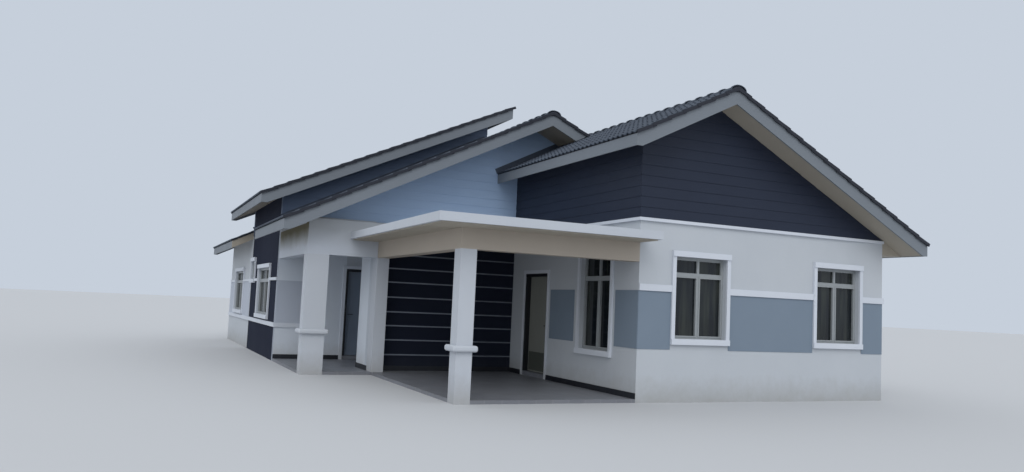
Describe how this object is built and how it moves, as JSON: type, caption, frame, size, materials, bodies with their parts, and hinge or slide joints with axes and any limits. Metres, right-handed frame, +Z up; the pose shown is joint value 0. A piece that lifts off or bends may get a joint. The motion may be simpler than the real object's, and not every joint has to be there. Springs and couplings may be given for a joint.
{
  "type": "bungalow",
  "caption": "Single-storey house with a columned porch, a side terrace and three stepped tiled roofs, white walls with navy and slate-blue boarding.",
  "frame": {"origin": "on the ground at the middle of the building's bounding box", "axes": "+X to the right along the front, +Y from the front to the back, +Z up"},
  "size_m": [11.77, 18.74, 6.76],
  "materials": {
    "white_render": "smooth painted render, very pale grey",
    "dark_board": "painted weatherboard, dark navy slate",
    "blue_board": "painted weatherboard, slate blue",
    "blue_panel": "painted render, blue grey",
    "navy_render": "painted render, dark navy",
    "roof_tile": "matt dark grey concrete tile",
    "trim_board": "painted board, light warm grey",
    "soffit": "painted sheet, beige",
    "deck": "plain sawn timber",
    "floor_tile": "charcoal floor tile",
    "slab": "smooth concrete",
    "window_frame": "white powder coat",
    "glass": "clear float glass",
    "brown_door": "stained timber, satin",
    "dark_frame": "satin black",
    "grey_door": "satin dark grey"
  },
  "bodies": {
    "house": {"bargeboards": "trim_board", "canopy_slab": "white_render", "door_lintels": "white_render", "eaves_boards": "trim_board", "eaves_soffits": "soffit", "house_floor": "slab", "main_door_frame": "dark_frame", "main_gable": "blue_board", "main_left_deck": "deck", "main_left_tiles": "roof_tile", "main_right_deck": "deck", "main_right_tiles": "roof_tile", "porch_back_wall": "navy_render", "porch_beams": "white_render", "porch_ceiling": "soffit", "porch_column": "white_render", "porch_floors": "floor_tile", "porch_pier": "white_render", "porch_side_wall": "white_render", "rear_gable": "blue_board", "rear_left_wall": "white_render", "rear_wall": "white_render", "ridge_tiles": "roof_tile", "right_wall": "white_render", "roof_step_board": "trim_board", "skirting": "floor_tile", "terrace_back_wall": "white_render", "terrace_beams": "white_render", "terrace_column": "white_render", "terrace_door_frame": "dark_frame", "terrace_inner_wall": "white_render", "terrace_slab": "white_render", "tower_back_wall": "dark_board", "tower_deck": "deck", "tower_front_wall": "dark_board", "tower_left_wall": "navy_render", "tower_side_wall": "dark_board", "tower_tiles": "roof_tile", "verge_soffits": "soffit", "wall_bands": "white_render", "wall_panels": "blue_panel", "window_frames": "window_frame", "window_glass": "glass", "window_surrounds": "white_render", "wing_front_wall": "white_render", "wing_gable": "dark_board", "wing_left_deck": "deck", "wing_left_tiles": "roof_tile", "wing_right_deck": "deck", "wing_right_tiles": "roof_tile", "wing_side_gable": "dark_board"},
    "main_door_leaf": {"main_door": "brown_door"},
    "terrace_door_leaf": {"terrace_door": "grey_door"}
  },
  "joints": [
    {"name": "main_door_hinge", "type": "hinge", "parent": "house", "child": "main_door_leaf", "pos_m": [-0.375, -4.3725, 1.2], "axis": [0, 0, 1], "range_deg": [0, 90]},
    {"name": "terrace_door_hinge", "type": "hinge", "parent": "house", "child": "terrace_door_leaf", "pos_m": [-2.7975, -0.55, 1.2], "axis": [0, 0, -1], "range_deg": [0, 90]}
  ]
}
